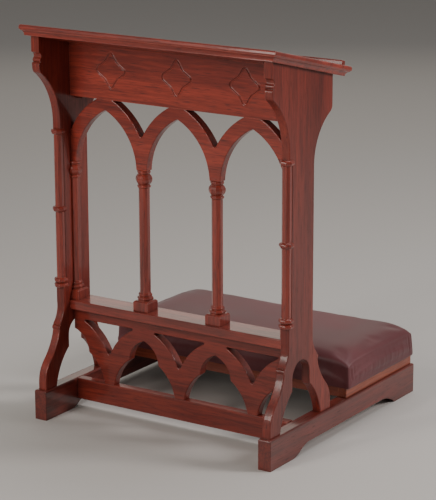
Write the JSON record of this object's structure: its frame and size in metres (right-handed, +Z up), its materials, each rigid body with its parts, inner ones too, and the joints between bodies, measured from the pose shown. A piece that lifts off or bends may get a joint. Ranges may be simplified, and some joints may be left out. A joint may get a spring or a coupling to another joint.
{
  "type": "prie-dieu",
  "caption": "Gothic-style prayer kneeler: sloping book desk on side panels with an arcade of columns between them, on floor runners that carry a padded kneeler.",
  "frame": {"origin": "on the floor under the middle of the whole piece", "axes": "+Z up; X across the piece; the arcade faces -Y and the person who kneels is at +Y, facing -Y"},
  "size_m": [0.6334, 0.6226, 0.873],
  "materials": {
    "mahogany_desk": "satin lacquer over red mahogany stain",
    "mahogany_frieze": "satin lacquer over red mahogany stain",
    "mahogany_arcade": "satin lacquer over red mahogany stain",
    "mahogany_turned": "satin lacquer over red mahogany stain",
    "mahogany_rail": "satin lacquer over red mahogany stain",
    "mahogany_panel": "satin lacquer over red mahogany stain",
    "mahogany_runner": "satin lacquer over red mahogany stain",
    "kneeler_wood": "satin lacquer over lighter mahogany stain",
    "plywood": "sanded, unfinished",
    "foam": "open-cell upholstery foam",
    "burgundy_vinyl": "grained upholstery vinyl",
    "zinc_screw": "zinc plated",
    "dowel_beech": "plain beech, glued"
  },
  "bodies": {
    "root": {"desk_top": "mahogany_desk", "book_ledge": "mahogany_desk", "ledge_pins": "dowel_beech", "frieze_board": "mahogany_frieze", "upper_arcade": "mahogany_arcade", "lower_arcade": "mahogany_arcade", "arcade_column_left_end": "mahogany_turned", "arcade_column_left": "mahogany_turned", "arcade_column_right": "mahogany_turned", "arcade_column_right_end": "mahogany_turned", "column_shelf": "mahogany_rail", "front_base_rail": "mahogany_rail", "book_shelf": "mahogany_rail", "book_shelf_cleats": "mahogany_rail", "desk_cleats": "mahogany_rail", "left_side_panel": "mahogany_panel", "right_side_panel": "mahogany_panel", "left_front_colonnette": "mahogany_turned", "right_front_colonnette": "mahogany_turned", "left_runner": "mahogany_runner", "right_runner": "mahogany_runner", "kneeler_front_rail": "kneeler_wood", "kneeler_rear_rail": "kneeler_wood", "kneeler_left_rail": "kneeler_wood", "kneeler_right_rail": "kneeler_wood", "kneeler_corner_blocks": "kneeler_wood", "kneeler_board": "plywood", "cushion_foam": "foam", "cushion_cover": "burgundy_vinyl", "desk_screws": "zinc_screw", "kneeler_board_screws": "zinc_screw", "column_dowels": "dowel_beech", "wall_dowels": "dowel_beech", "panel_foot_dowels": "dowel_beech", "kneeler_dowels": "dowel_beech"}
  },
  "joints": []
}
